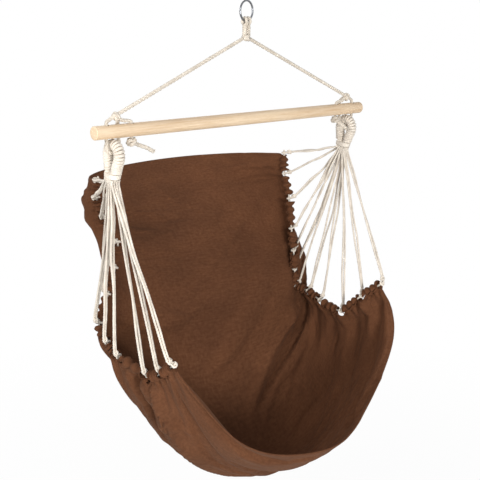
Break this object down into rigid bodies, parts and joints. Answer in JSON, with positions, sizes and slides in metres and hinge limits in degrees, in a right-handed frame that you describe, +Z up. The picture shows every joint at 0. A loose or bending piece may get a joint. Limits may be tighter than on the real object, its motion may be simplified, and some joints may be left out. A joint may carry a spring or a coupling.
{
  "type": "hammock chair",
  "caption": "Hanging hammock chair: a gathered cloth seat slung on fans of doubled cords from a round wooden spreader bar, with a rope sling and steel hanging ring above.",
  "frame": {"origin": "point inside the top of the hanging ring that rests on the hook", "axes": "+Z up, +X along the spreader bar to the sitter's left, +Y to the back, so the sitter faces -Y"},
  "size_m": [1, 0.7784, 1.3559],
  "materials": {
    "ring_steel": "polished",
    "suspension_rope": "laid cotton rope",
    "bar_wood": "sanded, unvarnished",
    "cord_yarn": "soft twisted cotton cord",
    "seat_fabric": "plain weave, matt"
  },
  "bodies": {
    "ring": {"hanging_ring": "ring_steel"},
    "crown": {"rope_crown": "suspension_rope"},
    "spreader": {"spreader_bar": "bar_wood", "suspension_leg_left": "suspension_rope", "hitch_knot_left": "suspension_rope", "bar_lashing_left": "suspension_rope", "end_rope_left": "suspension_rope", "stopper_knot_left": "suspension_rope", "suspension_leg_right": "suspension_rope", "hitch_knot_right": "suspension_rope", "bar_lashing_right": "suspension_rope", "end_rope_right": "suspension_rope", "stopper_knot_right": "suspension_rope"},
    "seat": {"seat_cloth": "seat_fabric", "eye_core_left": "cord_yarn", "eye_whipping_left": "cord_yarn", "clew_collar_left": "cord_yarn", "stringer_left": "cord_yarn", "eye_core_right": "cord_yarn", "eye_whipping_right": "cord_yarn", "clew_collar_right": "cord_yarn", "stringer_right": "cord_yarn", "clew_left_01": "cord_yarn", "clew_left_02": "cord_yarn", "clew_left_03": "cord_yarn", "clew_left_04": "cord_yarn", "clew_left_05": "cord_yarn", "clew_left_06": "cord_yarn", "clew_left_07": "cord_yarn", "clew_left_08": "cord_yarn", "clew_left_09": "cord_yarn", "clew_left_10": "cord_yarn", "clew_left_11": "cord_yarn", "clew_left_12": "cord_yarn", "clew_right_01": "cord_yarn", "clew_right_02": "cord_yarn", "clew_right_03": "cord_yarn", "clew_right_04": "cord_yarn", "clew_right_05": "cord_yarn", "clew_right_06": "cord_yarn", "clew_right_07": "cord_yarn", "clew_right_08": "cord_yarn", "clew_right_09": "cord_yarn", "clew_right_10": "cord_yarn", "clew_right_11": "cord_yarn", "clew_right_12": "cord_yarn"}
  },
  "joints": [
    {"name": "ring_swing", "type": "hinge", "parent": "ring", "child": "crown", "pos_m": [0, 0, -0.05175], "axis": [1, 0, 0], "range_deg": [-35, 35]},
    {"name": "knot_sway", "type": "hinge", "parent": "crown", "child": "spreader", "pos_m": [0, 0, -0.09375], "axis": [0, 1, 0], "range_deg": [-12, 12]},
    {"name": "seat_tilt", "type": "hinge", "parent": "spreader", "child": "seat", "pos_m": [0, 0, -0.36955], "axis": [1, 0, 0], "range_deg": [-25, 25]}
  ]
}
